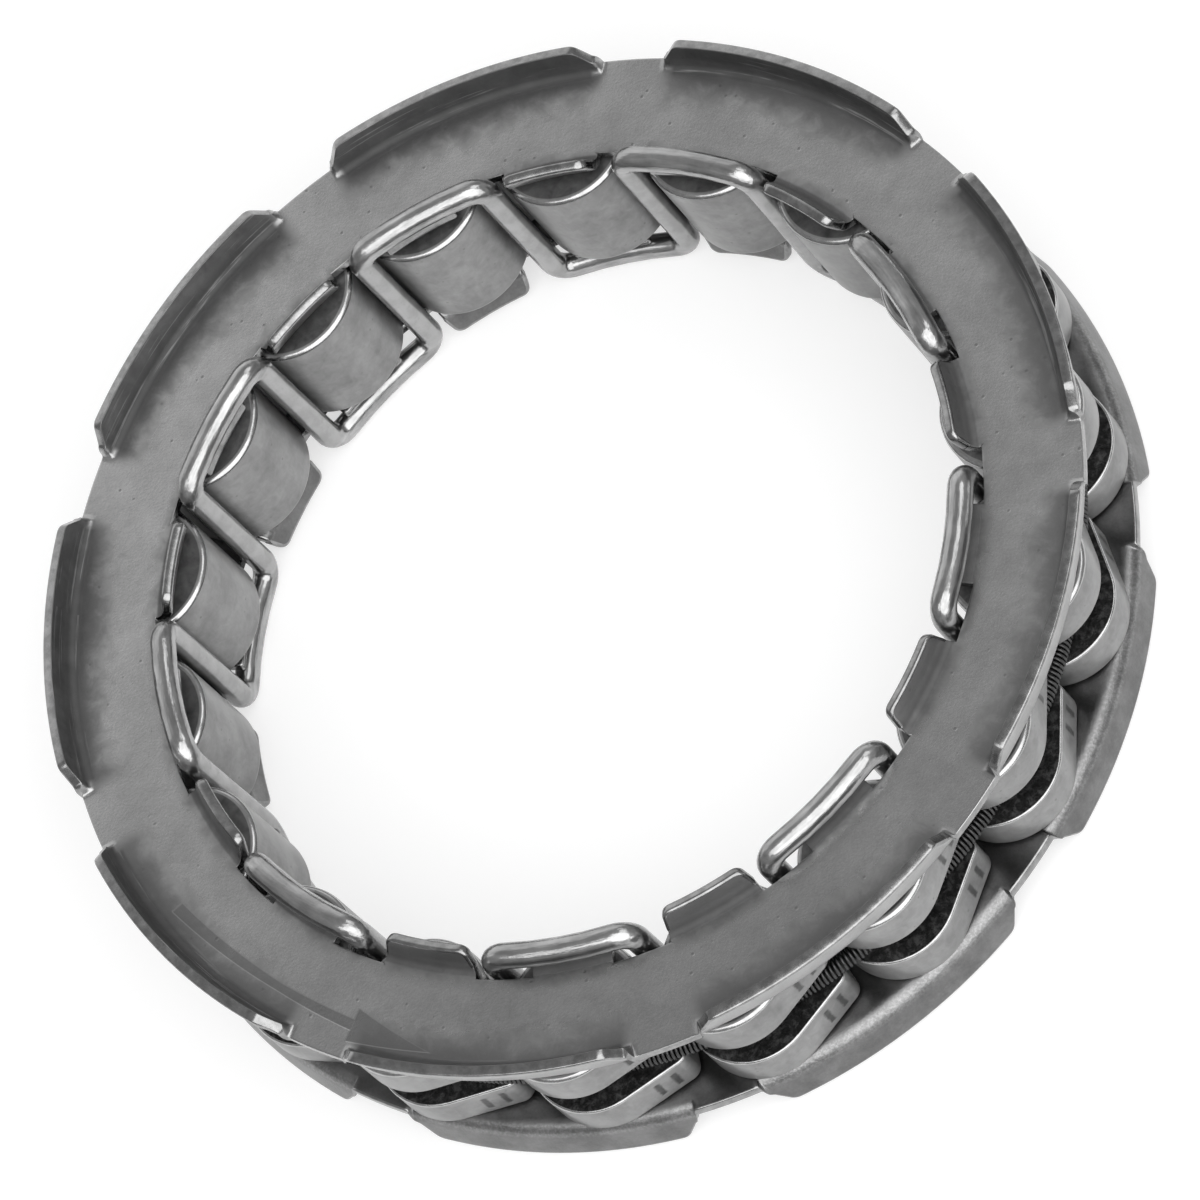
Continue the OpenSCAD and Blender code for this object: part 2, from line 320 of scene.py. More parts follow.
def make_floor():
    """A pale floor: the steel reflects it with its shadows, the camera sees it nearly white."""
    g = Graph("floor")
    path = g.add("ShaderNodeLightPath")
    seen = g.math("MAXIMUM", path.outputs["Is Camera Ray"], path.outputs["Is Transmission Ray"])
    diffuse = g.add("ShaderNodeBsdfDiffuse")
    g.put(diffuse.inputs["Color"], g.grey(g.mix(seen, FLOOR_GREY, SEEN_GREY)))
    glow = g.add("ShaderNodeEmission")
    level = g.plus(g.times(path.outputs["Is Glossy Ray"], FLOOR_GLOW), g.times(seen, SEEN_GLOW))
    g.put(glow.inputs["Strength"], level)
    both = g.add("ShaderNodeAddShader")
    g.put(both.inputs[0], diffuse.outputs[0])
    g.put(both.inputs[1], glow.outputs[0])
    out = g.add("ShaderNodeOutputMaterial")
    g.put(out.inputs["Surface"], both.outputs[0])
    mesh = bpy.data.meshes.new("floor")
    low = CAD_BOX[0][2] - FLOOR_BELOW
    signs = ((-1, -1), (1, -1), (1, 1), (-1, 1))
    corners = [(x * FLOOR_REACH, y * FLOOR_REACH, low) for x, y in signs]
    mesh.from_pydata(corners, [], [(0, 1, 2, 3)])
    mesh.materials.append(g.owner)
    link("floor", mesh)


# ---------------------------------------------------------------- shape helpers
def lerp(a, b, t):
    return a + (b - a) * t


def smooth(t):
    t = min(1.0, max(0.0, t))
    return t * t * (3.0 - 2.0 * t)


def polar(r, deg, z=0.0):
    a = math.radians(deg)
    return Vector((r * math.cos(a), r * math.sin(a), z))


def quarter(i, steps):
    """The angle of step i on the way through a quarter turn."""
    return math.radians(90.0 * i / steps)


def new_piece(name, verts, faces, mats, matter=None):
    """A closed mesh object from points in millimetres."""
    mesh = bpy.data.meshes.new(name)
    mesh.from_pydata([Vector(v) * MM for v in verts], [], faces)
    for m in mats:
        mesh.materials.append(m)
    if matter:
        mesh.polygons.foreach_set("material_index", matter)
    mesh.polygons.foreach_set("use_smooth", [True] * len(mesh.polygons))
    bm = bmesh.new()
    bm.from_mesh(mesh)
    bmesh.ops.remove_doubles(bm, verts=bm.verts[:], dist=0.001 * MM)
    bmesh.ops.recalc_face_normals(bm, faces=bm.faces[:])
    bm.to_mesh(mesh)
    bm.free()
    return link(name, mesh)


def round_edges(obj, width, angle):
    b = obj.modifiers.new("round", "BEVEL")
    b.width = width * MM
    b.segments = 2
    b.limit_method = "ANGLE"
    b.angle_limit = math.radians(angle)
    b.use_clamp_overlap = False


def even_shading(obj):
    """Large faces keep their own normals, so that the small ones beside them take up the turn."""
    w = obj.modifiers.new("normals", "WEIGHTED_NORMAL")
    w.keep_sharp = True
    w.weight = 80


# ---------------------------------------------------------------- stamped plates
def arc_points(centre, radius, a0, a1, count):
    turns = [math.radians(lerp(a0, a1, i / count)) for i in range(count + 1)]
    return [(centre[0] + radius * math.cos(a), centre[1] + radius * math.sin(a)) for a in turns]


def rounded_path(points, radii, steps):
    """The polyline through points with each inner corner rounded by its radius."""
    out = [points[0]]
    for i in range(1, len(points) - 1):
        p, q, s = Vector(points[i - 1]), Vector(points[i]), Vector(points[i + 1])
        rad = radii[i]
        if rad <= 0.0:
            out.append(tuple(q))
            continue
        a, b = (p - q).normalized(), (s - q).normalized()
        half = math.acos(max(-1.0, min(1.0, a.dot(b)))) / 2.0
        run = rad / math.tan(half)
        centre = q + (a + b).normalized() * (rad / math.sin(half))
        u, v = q + a * run - centre, q + b * run - centre
        turn = math.atan2(u.x * v.y - u.y * v.x, u.dot(v))
        for k in range(steps + 1):
            t = turn * k / steps
            out.append((centre.x + u.x * math.cos(t) - u.y * math.sin(t),
                        centre.y + u.x * math.sin(t) + u.y * math.cos(t)))
    out.append(points[-1])
    return out


def to_blank(points, centre):
    """Points (sideways, along the sheet) in millimetres as (degrees, along the sheet)."""
    return [(centre + math.degrees(math.asin(t / min(s, RIM_R))), s) for t, s in points]


def along(turn, height):
    """Length of sheet from the start of a bend to the given height over the face."""
    t = math.radians(turn)
    return BEND * t + (height - BEND * (1.0 - math.cos(t))) / math.sin(t)


FLANGE_END = FLANGE_ROOT + along(FLANGE_TURN, FLANGE_RISE)
TAB_END = TAB_ROOT - along(TAB_TURN, TAB_RISE)
SEAT_END = TAB_ROOT - SEAT_LENGTH


def sector(deg, middle):
    """Angle from the nearest of the nine places that repeat from the given one."""
    return abs((deg - middle + PITCH / 2) % PITCH - PITCH / 2)


def flat_step(p, q):
    """The way from one point of the blank to another, in millimetres."""
    turn = (q[0] - p[0] + 180.0) % 360.0 - 180.0
    return Vector((math.radians(turn) * min((p[1] + q[1]) / 2, RIM_R), q[1] - p[1]))


def flat_move(p, way):
    return p[0] + math.degrees(way.x / min(p[1], RIM_R)), p[1] + way.y


def corner_way(before, after):
    """Way out to the right of a path at a corner, long enough for both sides to move by one."""
    a, b = before.normalized(), after.normalized()
    na, nb = Vector((a.y, -a.x)), Vector((b.y, -b.x))
    return (na + nb) / max(0.5, 1.0 + na.dot(nb))


def edge_width(deg, s):
    """Width of the rounded edge at a point of the border: full on the tabs, slight elsewhere."""
    on_tab = s < TAB_ROOT - 0.5 and sector(deg, TAB_AT) < TAB_REACH
    return TAB_ROUND if on_tab else EDGE_ROUND


def offset_path(points, way_out):
    """An open path of the blank moved aside by the width of its edge, except its ends' angles."""
    out = []
    for i, p in enumerate(points):
        before = flat_step(points[i - 1], p) if i else flat_step(p, points[1])
        after = flat_step(p, points[i + 1]) if i + 1 < len(points) else before
        q = flat_move(p, corner_way(before, after) * (edge_width(*p) * way_out))
        out.append(q if 0 < i < len(points) - 1 else (p[0], q[1]))
    return out


def blank_outline():
    """Outline of one ninth of the flat blank, gap to gap, less the width of the rounded edge."""
    # the first and the last point of the tab and of the seat only lead in and are left out
    lead = 5.2
    root, end = TAB_HALF_ROOT, TAB_HALF_END
    tab = rounded_path([(-lead, NOTCH_R), (-root, NOTCH_R), (-root, TAB_ROOT), (-end, TAB_END),
                        (end, TAB_END), (root, TAB_ROOT), (root, NOTCH_R), (lead, NOTCH_R)],
                       [0, 0, 0, TAB_CORNER, TAB_CORNER, 0, 0, 0], 7)
    root = math.radians(SEAT_HALF) * TAB_ROOT
    end = root - SEAT_TAPER
    seat = rounded_path([(-lead, NOTCH_R), (-root, NOTCH_R), (-end, SEAT_END),
                         (end, SEAT_END), (root, NOTCH_R), (lead, NOTCH_R)],
                        [0, 0, SEAT_CORNER, SEAT_CORNER, 0, 0], 4)
    low = [(GAP_AT, NOTCH_R)] + to_blank(tab[1:-1], TAB_AT) + to_blank(seat[1:-1], SEAT_AT)
    low += [(GAP_AT + PITCH, NOTCH_R)]
    root = math.radians(FLANGE_HALF) * RIM_R
    end, out = root - FLANGE_TAPER, root + FLANGE_LEAD
    top = rounded_path([(-out, PLATE_R), (-root, PLATE_R), (-end, FLANGE_END),
                        (end, FLANGE_END), (root, PLATE_R), (out, PLATE_R)],
                       [0, FLANGE_FOOT, FLANGE_CORNER, FLANGE_CORNER, FLANGE_FOOT, 0], 6)
    top = [(FLANGE_AT + math.degrees(t / RIM_R), s) for t, s in top]
    top = [(GAP_AT, PLATE_R)] + top + [(GAP_AT + PITCH, PLATE_R)]
    return offset_path(low, -1.0) + offset_path(top, 1.0)[::-1]


def bend_map(turn, s, depth):
    """Way out and height of a point at s past the start of a bend, under the upper side."""
    t = math.radians(turn)
    a = min(t, s / BEND)
    rest = s - BEND * a
    radius = BEND + depth
    return (radius * math.sin(a) + rest * math.cos(a),
            BEND - radius * math.cos(a) + rest * math.sin(a))


def fold(deg, s, depth):
    """Place of a point of the blank in the finished plate, at a depth under its upper side."""
    if s > FLANGE_ROOT:
        inside = (FLANGE_HALF + FLANGE_EASE - sector(deg, FLANGE_AT)) / FLANGE_EASE
        out, up = bend_map(FLANGE_TURN * smooth(inside), s - FLANGE_ROOT, depth)
        return polar(FLANGE_ROOT + out, deg, up)
    if s < TAB_ROOT:
        turn = TAB_TURN if sector(deg, TAB_AT) < TAB_REACH else SEAT_TURN
        out, up = bend_map(turn, TAB_ROOT - s, depth)
        return polar(TAB_ROOT - out, deg, up)
    return polar(s, deg, -depth)


def blank_mesh():
    """Points (degrees, along the sheet) and faces of one ninth of the blank, in small cells."""
    bm = bmesh.new()
    bm.faces.new([bm.verts.new((d, s, 0.0)) for d, s in blank_outline()])
    # across the ring: each degree, and finer where the flanges' bend sets in
    ease_at, ease = PITCH / 2 - FLANGE_HALF, FLANGE_EASE / 6
    cuts = [(1, GAP_AT + i) for i in range(1, int(PITCH))]
    cuts += [(1, GAP_AT + ease_at - ease * i) for i in range(7)]
    cuts += [(1, GAP_AT + PITCH - ease_at + ease * i) for i in range(7)]
    # round the ring: the bends, and some rows between and beside them
    cuts += [(0, FLANGE_ROOT + BEND * math.radians(FLANGE_TURN) * i / 7) for i in range(8)]
    cuts += [(0, TAB_ROOT - BEND * math.radians(TAB_TURN) * i / 6) for i in range(7)]
    cuts += [(0, v) for v in (26.2, 27.2, 28.2, 29.2, 29.9, 31.7, 24.1, TAB_ROOT - 0.3)]
    for across, at in cuts:
        co = (at, 0, 0) if across else (0, at, 0)
        no = (1, 0, 0) if across else (0, 1, 0)
        geom = bm.verts[:] + bm.edges[:] + bm.faces[:]
        bmesh.ops.bisect_plane(bm, geom=geom, plane_co=co, plane_no=no, dist=1e-5)
    bm.verts.index_update()
    flat = [(v.co.x, v.co.y) for v in bm.verts]
    cells = [[v.index for v in f.verts] for f in bm.faces]
    bm.free()
    return flat, cells


def edge_profile(wide):
    """Steps (outwards, depth) from the upper side round the edge of the sheet to the under side."""
    top = wide if wide > EDGE_ROUND else EDGE_BURR
    turns = [quarter(i, EDGE_ROWS) for i in range(EDGE_ROWS + 1)]
    steps = [(wide - top * (1.0 - math.sin(a)), top * (1.0 - math.cos(a))) for a in turns]
    steps += [(wide * math.cos(a), SHEET - wide * (1.0 - math.sin(a))) for a in turns]
    return steps


def plate_mesh():
    """Points, faces and material numbers of a plate with its upper side at height zero."""
    flat, cells = blank_mesh()
    bm = bmesh.new()
    place = {}
    for k in range(REPEATS):
        made = []
        for d, s in flat:
            v = bm.verts.new(fold(d + PITCH * k, s, 0.0))
            place[v] = (d + PITCH * k, s)
            made.append(v)
        for c in cells:
            bm.faces.new([made[i] for i in c])
    # the ninths meet at the gaps
    bmesh.ops.remove_doubles(bm, verts=bm.verts[:], dist=0.004)
    bmesh.ops.recalc_face_normals(bm, faces=bm.faces[:])
    bm.verts.index_update()
    n = len(bm.verts)
    verts = [v.co.copy() for v in bm.verts]
    verts += [Vector(fold(*place[v], SHEET)) for v in bm.verts]
    upper = [[v.index for v in f.verts] for f in bm.faces]
    under = [[i + n for i in reversed(f)] for f in upper]
    faces, matter = upper + under, [UPPER] * len(upper) + [UNDER] * len(under)
    # the rounded edge: each border runs with the sheet on its left, its rows step outwards
    follow = {}
    for f in bm.faces:
        for loop in f.loops:
            if loop.edge.is_boundary:
                follow[loop.vert] = loop.link_loop_next.vert
    before = {b: a for a, b in follow.items()}
    row = {}
    for v, after in follow.items():
        p = place[v]
        way = corner_way(flat_step(place[before[v]], p), flat_step(p, place[after]))
        row[v] = [v.index]
        for out, depth in edge_profile(edge_width(*p))[:-1]:
            row[v].append(len(verts))
            verts.append(Vector(fold(*flat_move(p, way * out), depth)))
        row[v].append(v.index + n)
    for v, after in follow.items():
        # the slight edges show the upper side's skin down to the sheared wall
        skin = 1 if edge_width(*place[v]) > EDGE_ROUND else EDGE_ROWS + 1
        for i in range(len(row[v]) - 1):
            faces.append([row[v][i], row[v][i + 1], row[after][i + 1], row[after][i]])
            matter.append(UPPER if i < skin else RIM)
    bm.free()
    return verts, faces, matter


def make_plate(name, verts, faces, matter, mats, turned):
    """One stamped plate; the rear one is turned over about the line of a gap."""
    turn = Matrix.Identity(3)
    if turned:
        gap = math.radians(GAP_AT)
        turn = Matrix.Rotation(gap, 3, "Z") @ Matrix.Rotation(math.pi, 3, "X")
        turn = turn @ Matrix.Rotation(-gap, 3, "Z")
    placed = [turn @ (v + Vector((0, 0, FACE_Z))) for v in verts]
    obj = new_piece(name, placed, faces, mats, matter)
    even_shading(obj)
    return obj


# ---------------------------------------------------------------- wire and spring
def tube(points, radius, sides):
    """Points and faces of a round tube along a closed path."""
    n = len(points)
    tangents = [(points[(i + 1) % n] - points[i - 1]).normalized() for i in range(n)]
    frames = []
    normal = tangents[0].orthogonal().normalized()
    for t in tangents:
        normal = (normal - t * normal.dot(t)).normalized()
        frames.append(normal.copy())
    # what the frames have turned by at the end is spread over the whole path
    last = (frames[-1] - tangents[0] * frames[-1].dot(tangents[0])).normalized()
    twist = math.atan2(last.cross(frames[0]).dot(tangents[0]), last.dot(frames[0]))
    verts, faces = [], []
    for i in range(n):
        u, t = frames[i], tangents[i]
        v = t.cross(u)
        for k in range(sides):
            a = 2 * math.pi * k / sides + twist * i / n
            verts.append(points[i] + (u * math.cos(a) + v * math.sin(a)) * radius)
    for i in range(n):
        j = (i + 1) % n
        for k in range(sides):
            m = (k + 1) % sides
            faces.append((i * sides + k, i * sides + m, j * sides + m, j * sides + k))
    return verts, faces


def wire_path():
    """Centreline of the zigzag wire, with the small unevenness of a bent one."""
    draw = random.Random(7)
    half = PITCH / 4 - math.degrees(math.atan(WIRE_CORNER / WIRE_R))
    loops = []
    for k in range(2 * REPEATS):
        lean, tilt = (draw.uniform(-BAR_UNEVEN, BAR_UNEVEN) for _ in range(2))
        middle = SEAT_AT - PITCH + k * PITCH / 2
        up = 1.0 if k % 2 == 0 else -1.0
        rise = tilt * BAR_SLOPE
        bar = []
        for t in (0.0, 0.25, 0.5, 0.75, 1.0):
            height = up * (WIRE_Z + rise * (t - 0.5))
            bar.append(polar(WIRE_R, middle + lerp(-half, half, t), height))
        ends = []
        for side in (-1, 1):
            turn = Matrix.Rotation(math.radians(middle + side * half), 3, "Z")
            row = []
            for i in range(1, 8):
                a = quarter(i, 7)
                drop = WIRE_CORNER * (1.0 - math.cos(a))
                row.append(turn @ Vector((WIRE_R, side * WIRE_CORNER * math.sin(a),
                                          up * (WIRE_Z - drop + rise * side / 2))))
            ends.append(row)
        slide = Matrix.Rotation(math.radians(lean + WIRE_PLAY), 3, "Z")
        loops.append([slide @ p for p in ends[0][::-1] + bar + ends[1]])
    out = []
    for loop, after in zip(loops, loops[1:] + loops[:1]):
        out += loop
        out += [loop[-1].lerp(after[0], j / 5) for j in range(1, 5)]
    return out


def coil_path():
    """Centreline of the garter spring's coil."""
    reach = SPRING_D / 2 - COIL_GAUGE / 2
    out = []
    for i in range(COIL_TURNS * COIL_STEPS):
        a = 2 * math.pi * i / COIL_STEPS
        d = 360.0 * i / (COIL_TURNS * COIL_STEPS)
        out.append(polar(SPRING_R + reach * math.cos(a), d, reach * math.sin(a)))
    return out


# ---------------------------------------------------------------- sprags
def sprag_outline():
    """Outline of a sprag; x is the way round and y the distance from the axis."""
    f = math.radians(FLANK)
    start = (OUTER_R * math.sin(f) - OUTER_SIDE, OUTER_AT + OUTER_R * math.cos(f))
    toe_at = start[1] - (TOE_SIDE - start[0]) * math.tan(f) - TOE_R / math.cos(f)
    low = math.degrees(math.asin((INNER_AT - HEEL_LOW) / INNER_R))
    out = arc_points((0.0, INNER_AT), INNER_R, 0.0, -180.0 + low, 56)
    heel = -OUTER_SIDE - math.sqrt(OUTER_R ** 2 - (OUTER_AT - HEEL_LOW) ** 2)
    out += [(lerp(out[-1][0], heel, 0.5), HEEL_LOW)]
    rise = math.degrees(math.asin((OUTER_AT - HEEL_LOW) / OUTER_R))
    out += arc_points((-OUTER_SIDE, OUTER_AT), OUTER_R, 180.0 + rise, 90.0 - FLANK, 44)
    toe = (TOE_SIDE + TOE_R * math.sin(f), toe_at + TOE_R * math.cos(f))
    out += [(lerp(start[0], toe[0], i / 9), lerp(start[1], toe[1], i / 9)) for i in range(1, 9)]
    out += arc_points((TOE_SIDE, toe_at), TOE_R, 90.0 - FLANK, 0.0, 8)
    out += [(lerp(TOE_SIDE + TOE_R, INNER_R, i / 3), lerp(toe_at, INNER_AT, i / 3)) for i in (1, 2)]
    return [Vector(p) for p in out]


def inset_outline(points, by):
    """The outline moved inwards."""
    n = len(points)
    out = []
    for i in range(n):
        a = (points[i] - points[i - 1]).normalized()
        b = (points[(i + 1) % n] - points[i]).normalized()
        na, nb = Vector((a.y, -a.x)), Vector((b.y, -b.x))
        m = na + nb
        m = m / max(0.35, m.dot(na) if m.length else 1.0)
        out.append(points[i] + m * by)
    return out


def cut_at(points, radius):
    """The outline with a point set in wherever it crosses the circle of the groove's floor."""
    out = []
    for p, q in zip(points, points[1:] + points[:1]):
        out.append(p)
        if (p.length - radius) * (q.length - radius) < 0:
            lo, hi = 0.0, 1.0
            for _ in range(30):
                mid = (lo + hi) / 2
                if (p.lerp(q, mid).length - radius) * (p.length - radius) > 0:
                    lo = mid
                else:
                    hi = mid
            out.append(p.lerp(q, lo))
    return out


def sprag_levels(draw, full, above):
    """The rings of points along a sprag, each with its height and kind: side, floor, lip or end."""
    half = []
    for i in range(5):
        a = quarter(i, 4)
        ring = inset_outline(full, SPRAG_ROUND * (1.0 - math.sin(a)))
        kind = "end" if 0 < i < 4 else "side"
        half.append((SPRAG_HALF - SPRAG_ROUND * (1.0 - math.cos(a)), ring, kind))
    for i in range(4):
        a = quarter(i, 3)
        ring = inset_outline(full, GROOVE_ROUND * (1.0 - math.cos(a)))
        ring = [q if up else p for p, q, up in zip(full, ring, above)]
        half.append((GROOVE_HALF + GROOVE_ROUND * (1.0 - math.sin(a)), ring, "lip"))
    # the groove's floor is a little rough
    floor = [p * (GROOVE_FLOOR / p.length) if up else p.copy() for p, up in zip(full, above)]
    middle = []
    rows = 6
    for i in range(rows + 1):
        ring = []
        for p, up in zip(floor, above):
            deep = draw.uniform(-0.05, 0.01) if up and 0 < i < rows else 0.0
            ring.append(p * (1.0 + deep / GROOVE_FLOOR))
        middle.append((lerp(-GROOVE_HALF, GROOVE_HALF, i / rows), ring, "floor"))
    return [(-z, ring, kind) for z, ring, kind in half] + middle + half[::-1]


def sprag_mesh(seed):
    """Points, faces and material numbers of one sprag, with the clutch's axis at x = y = 0."""
    full = cut_at(sprag_outline(), GROOVE_FLOOR)
    n = len(full)
    above = [p.length > GROOVE_FLOOR + 0.001 for p in full]
    levels = sprag_levels(random.Random(seed), full, above)
    verts, faces, matter = [], [], []
    for z, ring, _ in levels:
        verts += [Vector((p.x, p.y, z)) for p in ring]
    for k in range(len(levels) - 1):
        pair = {levels[k][2], levels[k + 1][2]}
        dark = "floor" in pair
        wall = dark and len(pair) > 1
        for i in range(n):
            j = (i + 1) % n
            high = above[i] or above[j]
            if wall and not high:
                continue
            faces.append((k * n + i, k * n + j, (k + 1) * n + j, (k + 1) * n + i))
            worn = pair == {"end"} or high and pair == {"lip"}
            matter.append(GROOVE if dark and high else WORN if worn else SKIN)
    faces.append(tuple(range(n)))
    faces.append(tuple(reversed(range((len(levels) - 1) * n, len(levels) * n))))
    # the end faces take the darker cheek steel: painted shade
    matter += [CHEEK, CHEEK]
    return verts, faces, matter


# ---------------------------------------------------------------- materials
def plate_steel(marked=False):
    """Matt sheet with stains and painted shade along the bends, painted light round the ring, small
    pits and, when marked, an etched arrow.
    """
    g = Graph("plate_steel")
    p = g.place()
    r, turn, z = g.round_place(p)
    cloud = g.noise(p, 0.22, 3.0, 0.55)
    blotch = g.noise(p, 0.8, 5.0, 0.62, 0.4)
    grain = g.noise(p, 7.0, 4.0, 0.65)
    value = g.mix(g.ramp(cloud, 0.3, 0.7), 0.4, 0.47)
    value = g.plus(g.plus(value, g.swing(grain, 0.1)), g.swing(blotch, 0.09))
    # painted light: the sheet's tone is made lighter and darker round the ring, where the light
    # falls unevenly on it
    painted_light_round = g.times(g.math("COSINE", g.times(turn, 2.0)), 0.1)
    painted_light_slant = g.math("COSINE", g.minus(turn, math.radians(140.0)))
    painted_light_round = g.plus(painted_light_round, g.times(painted_light_slant, 0.06))
    value = g.times(value, g.plus(painted_light_round, 1.02))
    # stains and painted shade: dark on the hollow side of the flanges, where shade falls in the
    # crease, fading over the flat with a ragged border
    lobe = g.math("COSINE", g.times(g.minus(turn, math.radians(FLANGE_AT)), float(REPEATS)))
    at_flange = g.ramp(lobe, -0.93, -0.7)
    border = g.plus(STAIN_AND_SHADE_OUTER_R, g.swing(blotch, 2.8))
    border = g.plus(border, g.swing(g.noise(p, 0.16, 2.0), 2.4))
    stain_and_shade = g.times(g.ramp(g.minus(r, border), -1.3, 1.4), at_flange)
    # stains and painted shade near the bore, round the notches and tab roots where the wire lies on
    # the plate
    lower = g.plus(STAIN_AND_SHADE_INNER_R, g.swing(blotch, 2.0))
    stain_and_shade = g.math("MAXIMUM", stain_and_shade, g.times(g.ramp(g.minus(lower, r), -0.4, 0.9), 0.7))
    value = g.mix(g.times(stain_and_shade, g.mix(blotch, 0.6, 1.1)), value, 0.12)
    # the bends themselves are dull and darkened with painted shade in their hollows, with fine
    # streaks left along them by the press tool
    bend = g.times(g.ramp(r, FLANGE_ROOT - 0.25, FLANGE_ROOT + 0.05),
                   g.ramp(r, FLANGE_ROOT + 0.6, FLANGE_ROOT + 0.42))
    tab_bend_shade = g.times(g.ramp(r, TAB_ROOT + 0.1, TAB_ROOT - 0.1),
                       g.ramp(r, TAB_ROOT - 0.65, TAB_ROOT - 0.4, 0.35, 1.0))
    on_flange = g.ramp(lobe, -0.77, -0.7)
    bend = g.math("MAXIMUM", g.times(bend, on_flange), tab_bend_shade)
    value = g.mix(g.times(bend, g.mix(blotch, 0.4, 0.8)), value, 0.11)
    streak = g.ramp(g.ring_streaks(r, turn, z, 5.0, 6.0), 0.57, 0.68)
    streak = g.times(g.times(streak, g.ramp(r, 29.9, 30.5)), on_flange)
    value = g.plus(value, g.times(streak, 0.16))
    pit = g.times(g.ramp(g.cells(p, 1.1), 0.15, 0.05), g.ramp(g.noise(p, 0.6, 2.0), 0.46, 0.56))
    value = g.mix(g.times(pit, 0.4), value, 0.12)
    height = g.plus(g.times(grain, 0.5), g.times(blotch, 0.5))
    height = g.minus(height, g.times(pit, 0.6))
    if marked:
        etch = arrow_mask(g, turn, z, r)
        edge = g.times(g.times(etch, g.minus(1.0, etch)), 4.0)
        value = g.mix(g.times(etch, 0.6), value, 0.17)
        value = g.plus(value, g.times(edge, 0.08))
        height = g.minus(height, g.times(etch, 0.8))
    rough = g.mix(stain_and_shade, g.mix(blotch, 0.2, 0.27), 0.45)
    rough = g.mix(bend, rough, 0.75)
    return g.steel(value, rough, g.bump(height, 0.00002, 0.7))


def arrow_mask(g, turn, z, r):
    """A long thin arrow along the plate that points the way the clutch turns."""
    length = ARROW_TIP - ARROW_TAIL
    neck = (ARROW_NECK - ARROW_TAIL) / length
    share = g.math("DIVIDE", g.minus(g.times(turn, 180.0 / math.pi), ARROW_TAIL), length)
    bow = g.minus(share, 0.4)
    middle = g.plus(ARROW_R, g.times(g.times(bow, bow), ARROW_BOW))
    off = g.apart(r, middle)
    shaft = g.plus(0.25, g.times(g.apart(share, 0.45), 0.28))
    shaft = g.times(g.ramp(g.minus(off, shaft), 0.05, -0.05),
                    g.times(g.ramp(share, -0.006, 0.006), g.ramp(share, neck + 0.01, neck)))
    head = g.minus(off, g.times(g.minus(1.0, share), 1.0 / (1.0 - neck)))
    head = g.times(g.ramp(head, 0.05, -0.05), g.ramp(share, neck - 0.004, neck + 0.004))
    return g.times(g.math("MAXIMUM", shaft, head), g.ramp(z, 4.6, 4.65))


def wire_steel():
    """Bright drawn wire, a little scuffed, with painted reflection streaks along the bars."""
    g = Graph("wire_steel")
    p = g.place()
    blotch = g.noise(p, 0.8, 4.0, 0.6)
    grain = g.noise(p, 9.0, 3.0, 0.6)
    scuff = g.ramp(g.noise(p, 1.7, 5.0, 0.7), 0.55, 0.7)
    # the bars carry painted reflection streaks in the colour and streaks from the drawing die in
    # the bump, and small flats from handling
    r, turn, z = g.round_place(p)
    on_bar = g.ramp(g.math("ABSOLUTE", z), WIRE_Z - 0.8, WIRE_Z - 0.4)
    streak = g.times(g.minus(g.ring_streaks(r, turn, z, 3.2, 9.0), 0.5), on_bar)
    value = g.mix(g.ramp(blotch, 0.35, 0.65), 0.36, 0.44)
    value = g.plus(value, g.times(streak, 0.5))
    value = g.mix(g.times(scuff, 0.3), value, 0.3)
    rough = g.plus(g.mix(blotch, 0.09, 0.14), g.times(scuff, 0.1))
    height = g.plus(g.times(grain, 0.1), g.times(streak, 1.6))
    height = g.plus(height, g.times(blotch, 0.9))
    return g.steel(value, rough, g.bump(height, 0.00004, 0.5), soft=0.3)


def sprag_steel(low, high):
    """Drawn and tumbled steel with a dull satin skin and two short dents across each flank,
    darkened inside with painted shade.
    """
    g = Graph("sprag_steel")
    p = g.place()
    cloud = g.noise(p, 0.35, 4.0, 0.6)
    mottle = g.noise(p, 1.5, 4.0, 0.6, 0.5)
    drawn = g.noise(g.stretch(p, 1.0, 1.0, 0.12), 5.0, 3.0, 0.6)
    value = g.mix(g.ramp(cloud, 0.3, 0.7), low, high)
    value = g.plus(g.plus(value, g.swing(mottle, 0.16)), g.swing(drawn, 0.03))
    speck = g.times(g.ramp(g.cells(p, 1.3), 0.16, 0.05), g.ramp(g.noise(p, 0.7, 2.0), 0.5, 0.6))
    value = g.mix(g.times(speck, 0.45), value, 0.08)
    # the dents: each sprag's own direction first, then the way sideways from its middle
    r, turn, z = g.round_place(p)
    first = math.radians(TAB_AT + SPRAG_PLAY - PITCH / 4)
    local = g.math("FLOORED_MODULO", g.minus(turn, first), math.radians(PITCH / 2))
    side = g.times(r, g.math("SINE", g.minus(local, math.radians(PITCH / 4))))
    ragged = g.minus(g.noise(p, 2.6, 4.0, 0.7), 0.5)
    side = g.plus(side, g.times(ragged, 0.2))
    dent = g.apart(g.apart(side, DENT_SIDE), DENT_APART)
    dent = g.times(g.ramp(dent, 0.24, 0.08), g.ramp(r, 29.1, 29.3))
    lengthwise = g.plus(g.apart(g.math("ABSOLUTE", z), DENT_ALONG), g.times(ragged, 0.3))
    dent = g.times(dent, g.ramp(lengthwise, 0.75, 0.6))
    # painted shade: the dents are coloured nearly black inside
    value = g.mix(g.times(dent, g.mix(mottle, 0.5, 1.1)), value, 0.03)
    height = g.plus(g.times(drawn, 0.2), g.times(cloud, 0.8))
    height = g.minus(height, g.times(dent, 6.0))
    rough = g.mix(mottle, 0.25, 0.36)
    return g.steel(value, rough, g.bump(height, 0.000006, 0.4), metallic=0.55)


def spring_steel():
    """Fine wire made nearly black: painted shade for the coil that lies between the sprags."""
    g = Graph("spring_steel")
    grain = g.noise(g.place(), 3.0, 3.0, 0.6)
    value = g.mix(grain, 0.04, 0.11)
    return g.steel(value, g.mix(grain, 0.3, 0.45), g.bump(grain, 0.00001, 0.4))


